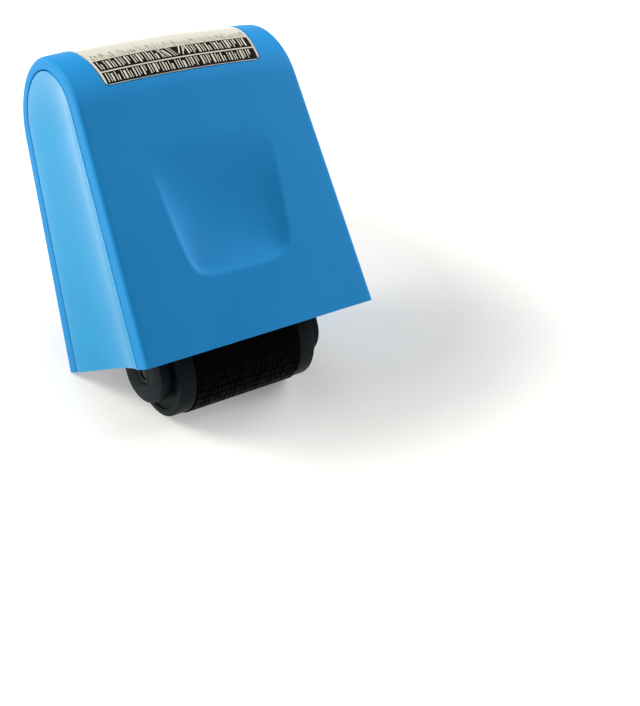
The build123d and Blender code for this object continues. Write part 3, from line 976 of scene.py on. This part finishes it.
# Moulded black rubber, wet with ink: deep black, with weak highlights that change where the
# ink film pools in patches 1.5 mm wide
die_rubber, film, rubber_tint = patterned(
    "black_die_rubber", "ShaderNodeTexNoise", {"Scale": 1 / (1.5 * MM), "Detail": 3.0}, "#020203", "#050506"
)
rubber_rough = node(die_rubber, "ShaderNodeMapRange", {"To Min": 0.24, "To Max": 0.5}, Value=film)
rubber_bump = node(die_rubber, "ShaderNodeBump", {"Strength": 0.4, "Distance": 0.04 * MM}, Height=film)
rubber_shader = node(
    die_rubber, "ShaderNodeBsdfPrincipled", {"IOR": 1.33, "Specular IOR Level": 0.03},
    Base_Color=rubber_tint, Roughness=rubber_rough.outputs["Result"],
    Normal=rubber_bump.outputs["Normal"],
)
node(die_rubber, "ShaderNodeOutputMaterial", Surface=rubber_shader.outputs["BSDF"])
die_half = [(DIE_HALF, DIE_BORE), (DIE_HALF, DIE_RADIUS - RELIEF)]
die = turned("print_die_sleeve", both_ends(die_half), AXLE_LEVEL, "drum", die_rubber, "die_rubber", 128)
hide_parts("print_die")
mark_low, mark_high = DIE_RADIUS - RELIEF - MARK_ROOT, DIE_RADIUS - MARK_SHY
half_angle = MARK_SHARE * math.pi / DIE_ROWS
mark_points, mark_faces = [], []
for row in range(DIE_ROWS):
    start, count = -DIE_HALF + DIE_MARGIN, 4 * row
    while start < DIE_HALF - SHORTEST_MARK:
        end = min(start + mark_lengths[count % len(mark_lengths)], DIE_HALF - DIE_MARGIN)
        corners = ((start, mark_low), (start, mark_high), (end, mark_high), (end, mark_low))
        loops = []
        for share in (-1, -0.5, 0, 0.5, 1):
            turn = 2 * math.pi * row / DIE_ROWS + share * half_angle
            loops.append([(x, r * math.cos(turn), AXLE_LEVEL + r * math.sin(turn)) for x, r in corners])
        gather(mark_points, mark_faces, *skin_of_loops(loops))
        start = end + MARK_GAP
        count += 1
moulding("print_die_marks", mark_points, mark_faces, "drum", die_rubber, "die_rubber")

# Ink roller: a felt sleeve soaked in black ink, glued on a plastic tube with a thin cap at each
# end. It turns on a steel axle, a hair above the die.
FELT_RADIUS = 7.5
FELT_EASE = 0.3
TUBE_RADIUS = 3.6
TUBE_HALF = 15.7
TUBE_EASE = 0.1
TUBE_BORE = 1.55
CAP_RADIUS = 6.6
# Ink-soaked felt: almost black and without a gleam, under a nap of matted fibres 0.35 mm long
ink_felt, fibres, felt_tint = patterned(
    "inked_felt", "ShaderNodeTexNoise", {"Scale": 1 / (0.35 * MM), "Detail": 6.0}, "#060608", "#17171B"
)
felt_bump = node(ink_felt, "ShaderNodeBump", {"Strength": 0.8, "Distance": 0.12 * MM}, Height=fibres)
felt_shader = node(
    ink_felt, "ShaderNodeBsdfPrincipled", {"Roughness": 0.75, "Sheen Weight": 0.2},
    Base_Color=felt_tint, Normal=felt_bump.outputs["Normal"],
)
node(ink_felt, "ShaderNodeOutputMaterial", Surface=felt_shader.outputs["BSDF"])
sleeve_half = [
    (DIE_HALF, TUBE_RADIUS), (DIE_HALF, FELT_RADIUS - FELT_EASE), (DIE_HALF - FELT_EASE, FELT_RADIUS)
]
sleeve = turned("ink_sleeve_felt", both_ends(sleeve_half), INK_LEVEL, "ink_roller", ink_felt, "ink_felt")
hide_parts("ink_sleeve")
tube_half = [
    (TUBE_HALF, TUBE_BORE), (TUBE_HALF, TUBE_RADIUS - TUBE_EASE), (TUBE_HALF - TUBE_EASE, TUBE_RADIUS)
]
tube = turned("ink_core_tube", both_ends(tube_half), INK_LEVEL, "ink_roller", black_abs, "drum_plastic", 64)
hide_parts("ink_core")
cap_profile = [
    (DIE_HALF, TUBE_RADIUS), (DIE_HALF, 6.4), (14.65, CAP_RADIUS), (15.5, CAP_RADIUS), (TUBE_HALF, 6.4),
    (TUBE_HALF, TUBE_RADIUS),
]
for hand, name in ((1, "right"), (-1, "left")):
    cap = turned(
        "ink_cap_" + name + "_disc", [(hand * x, r) for x, r in cap_profile], INK_LEVEL, "ink_roller",
        black_abs, "drum_plastic",
    )
    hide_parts("ink_cap_" + name)

# Carriage: a saddle of black ABS over the ink roller, with an arm at each end that grips the ink
# roller's steel axle. The axle's ends slide in the cheeks.
SADDLE_HALF = 18.9
ARM_INNER = 16.4
ARM_FOOT = 14.1
SADDLE_FOOT = 26
SADDLE_TOP = 28
ARM_DEEP = 4.2
SADDLE_DEEP = 5.6
INK_AXLE_END = 21.4
ink_axle_half = pin_end(INK_AXLE_END, 1.3, 0.2, JOURNAL_RADIUS)
ink_axle = turned(
    "ink_axle_pin", both_ends(ink_axle_half), INK_LEVEL, "ink_carriage", dark_steel_as_shade, "axle_steel", 64
)
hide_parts("ink_axle")
arms_half = [
    (SADDLE_HALF, SADDLE_TOP), (SADDLE_HALF, ARM_FOOT), (ARM_INNER, ARM_FOOT), (ARM_INNER, SADDLE_FOOT)
]
carriage = deep_block(
    "ink_carriage_moulding", both_ends(arms_half), ARM_DEEP, "ink_carriage", "frame_plastic"
)
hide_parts("ink_carriage")
saddle = rectangle(-SADDLE_HALF, SADDLE_HALF, SADDLE_FOOT, SADDLE_TOP)
deep_block("ink_carriage_saddle", saddle, SADDLE_DEEP, "ink_carriage", "frame_plastic")

# Springs: two coils of music wire, of four turns each, between the carriage and the bridge. They
# press the ink roller toward the die, and short moulded pins keep them in place.
SPRING_PLACE = 8.99
SPRING_RADIUS = 2.4
SPRING_FOOT = 28.3
SPRING_TOP = 36.6
SPRING_TURNS = 4
TURN_STEPS = 32
WIRE_RADIUS = 0.35
WIRE_SIDES = 10
PIN_RADIUS = 1.5
PIN_CHAMFER = 0.3
PIN_HEIGHT = 2.2
PIN_SUNK = 0.3
# Drawn music wire: bright grey steel. The lines that its drawing leaves are hardly 0.02 mm
# apart, and are drawn 0.4 mm so that they show.
spring_wire, _, wire_tint = patterned(
    "drawn_spring_wire", "ShaderNodeTexNoise", {"Scale": 1 / (0.4 * MM), "Detail": 2.0}, "#8E9094", "#A6A8AB"
)
wire_shader = node(
    spring_wire, "ShaderNodeBsdfPrincipled", {"Metallic": 1.0, "Roughness": 0.32}, Base_Color=wire_tint
)
node(spring_wire, "ShaderNodeOutputMaterial", Surface=wire_shader.outputs["BSDF"])


def spring_pin(name, place, root, tip, body):
    chamfer = math.copysign(PIN_CHAMFER, tip - root)
    rows = [(root, PIN_RADIUS), (tip - chamfer, PIN_RADIUS), (tip, PIN_RADIUS - PIN_CHAMFER)]
    loops = [[(x, y, level) for x, y in ring(place, 0, radius, 32)] for level, radius in rows]
    return moulding(name, *skin_of_loops(loops), body, black_abs, "frame_plastic")


def coil_loops(place):
    coil_low, coil_high = SPRING_FOOT + WIRE_RADIUS, SPRING_TOP - WIRE_RADIUS
    steps = SPRING_TURNS * TURN_STEPS
    loops = []
    for step in range(steps + 1):
        turn = 2 * math.pi * step / TURN_STEPS
        out = Vector((math.cos(turn), math.sin(turn), 0))
        heart = Vector((place, 0, coil_low + (coil_high - coil_low) * step / steps)) + out * SPRING_RADIUS
        loop = []
        for side in range(WIRE_SIDES):
            angle = 2 * math.pi * side / WIRE_SIDES
            loop.append(heart + (out * math.cos(angle) + Vector((0, 0, 1)) * math.sin(angle)) * WIRE_RADIUS)
        loops.append(loop)
    return loops


for hand, name in ((1, "right"), (-1, "left")):
    spring = moulding(
        "pressure_spring_" + name + "_coil", *skin_of_loops(coil_loops(hand * SPRING_PLACE)), "stamp_body",
        spring_wire, "spring_steel",
    )
    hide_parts("pressure_spring_" + name)
    root, tip = BRIDGE_FOOT + PIN_SUNK, BRIDGE_FOOT - PIN_HEIGHT
    spring_pin("bridge_pin_" + name, hand * SPRING_PLACE, root, tip, "stamp_body")
    root, tip = SADDLE_TOP - PIN_SUNK, SADDLE_TOP + PIN_HEIGHT
    spring_pin("carriage_pin_" + name, hand * SPRING_PLACE, root, tip, "ink_carriage")
    # The carriage's lift of 1.2 mm presses the coil of 8.3 mm up against the bridge
    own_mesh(spring)

# Floor: plain white paper, wide enough to fill the view. It keeps the stamp's shadow, goes over
# into plain white round it, and is white in reflections. From below it is clear.
FLOOR_HALF = 3
# The paper's glow is a painted light: weakest within 35 mm of a point 50 mm to the stamp's right, where its
# shadow shows, and full white beyond 150 mm
SHADE_CENTRE = (50 * MM, 0, 0)
SHADE_START = 35 * MM
SHADE_END = 150 * MM
SHADE_GLOW = 0.12
floor_mesh = bpy.data.meshes.new("paper_floor")
floor_corners = [(x, y, 0) for x, y in rectangle(-FLOOR_HALF, FLOOR_HALF, -FLOOR_HALF, FLOOR_HALF)]
floor_mesh.from_pydata(floor_corners, [], [(0, 1, 2, 3)])
floor = bpy.data.objects.new("paper_floor", floor_mesh)
bpy.context.scene.collection.objects.link(floor)
# Uncoated paper: a flat warm white, clouded by its fibres every 2 mm
white_paper, _, paper_tint = patterned(
    "white_paper", "ShaderNodeTexNoise", {"Scale": 1 / (2 * MM), "Detail": 2.0}, "#DEDCD8", "#E1DFDB"
)
paper_shader = node(white_paper, "ShaderNodeBsdfDiffuse", Color=paper_tint)
where = node(white_paper, "ShaderNodeTexCoord").outputs["Object"]
away = node(white_paper, "ShaderNodeVectorMath", {"operation": "DISTANCE"}, where)
away.inputs[1].default_value = SHADE_CENTRE
whiter = node(
    white_paper, "ShaderNodeMapRange",
    {"From Min": SHADE_START, "From Max": SHADE_END, "To Min": SHADE_GLOW, "To Max": 1.0},
    Value=away.outputs["Value"],
)


# 1 for what the camera sees, straight or through a mirror or a clear piece, and 0 for the light
# that falls on the pieces
def seen_or_mirrored(material):
    rays = node(material, "ShaderNodeLightPath")
    total = rays.outputs["Is Camera Ray"]
    for kind in ("Is Glossy Ray", "Is Transmission Ray"):
        either = node(material, "ShaderNodeMath", {"operation": "MAXIMUM"}, total, rays.outputs[kind])
        total = either.outputs[0]
    return total


paper_lift = node(
    white_paper, "ShaderNodeMath", {"operation": "MULTIPLY"}, seen_or_mirrored(white_paper),
    whiter.outputs["Result"],
)
paper_glow = node(white_paper, "ShaderNodeEmission", Strength=paper_lift.outputs[0])
paper_lit = node(white_paper, "ShaderNodeAddShader", None, paper_shader.outputs[0], paper_glow.outputs[0])
from_below = node(white_paper, "ShaderNodeNewGeometry").outputs["Backfacing"]
clear = node(white_paper, "ShaderNodeBsdfTransparent")
one_sided = node(
    white_paper, "ShaderNodeMixShader", None, from_below, paper_lit.outputs[0], clear.outputs[0]
)
node(white_paper, "ShaderNodeOutputMaterial", Surface=one_sided.outputs[0])
floor_mesh.materials.append(white_paper)

# Studio: a room that is white to the camera and in reflections but gives little light. A soft
# window at the left and rear lights the bright side, a larger box at the right models the
# scoop, and a weak one hangs from the ceiling.
ROOM_LIGHT = 0.11
LAMP_AIM = (0, 0, 0.03)
world = bpy.data.worlds.new("pale_studio")
bpy.context.scene.world = world
world.use_nodes = True
room = world.node_tree.nodes["Background"]
room.inputs["Color"].default_value = (1, 1, 1, 1)
room_level = node(
    world, "ShaderNodeMapRange", {"To Min": ROOM_LIGHT, "To Max": 1.0}, Value=seen_or_mirrored(world)
)
world.node_tree.links.new(room_level.outputs["Result"], room.inputs["Strength"])


def soft_light(name, place, size, power, colour=(1, 1, 1)):
    data = bpy.data.lights.new(name, "AREA")
    data.shape = "RECTANGLE"
    data.size = data.size_y = size
    data.energy = power
    data.color = colour
    lamp = bpy.data.objects.new(name, data)
    lamp.location = place
    lamp.rotation_euler = (Vector(LAMP_AIM) - Vector(place)).to_track_quat("-Z", "Y").to_euler()
    bpy.context.scene.collection.objects.link(lamp)


soft_light("left_window", (-0.58, 0.37, 0.42), size=0.36, power=6.1, colour=(1, 0.99, 0.93))
soft_light("right_box", (0.67, -0.05, 0.42), size=0.55, power=5.8)
soft_light("ceiling_box", (0.1, 0.1, 0.8), size=0.4, power=0.9)

# Camera: as far and as high as the photograph's own, worked out from the housing's edges. Its
# place and ways are those of the upright housing, with which it leans.
CAMERA_PLACE = (-146.30, -274.38, 28.37)
right_way = Vector((0.8061, -0.54199, -0.23759)).normalized()
down_way = Vector((-0.26567, 0.0273, -0.96368))
down_way = (down_way - right_way * down_way.dot(right_way)).normalized()
ahead_way = right_way.cross(down_way)
camera_turn = Matrix((right_way, -down_way, -ahead_way)).transposed().to_4x4()
camera_data = bpy.data.cameras.new("photo_camera")
camera_data.sensor_width = 36
camera_data.lens = 65.67
camera_data.clip_start = 0.01
camera = bpy.data.objects.new("photo_camera", camera_data)
camera.matrix_world = standing @ Matrix.Translation(Vector(CAMERA_PLACE) * MM) @ camera_turn
bpy.context.scene.collection.objects.link(camera)
bpy.context.scene.camera = camera
bpy.context.scene.view_settings.view_transform = "Standard"
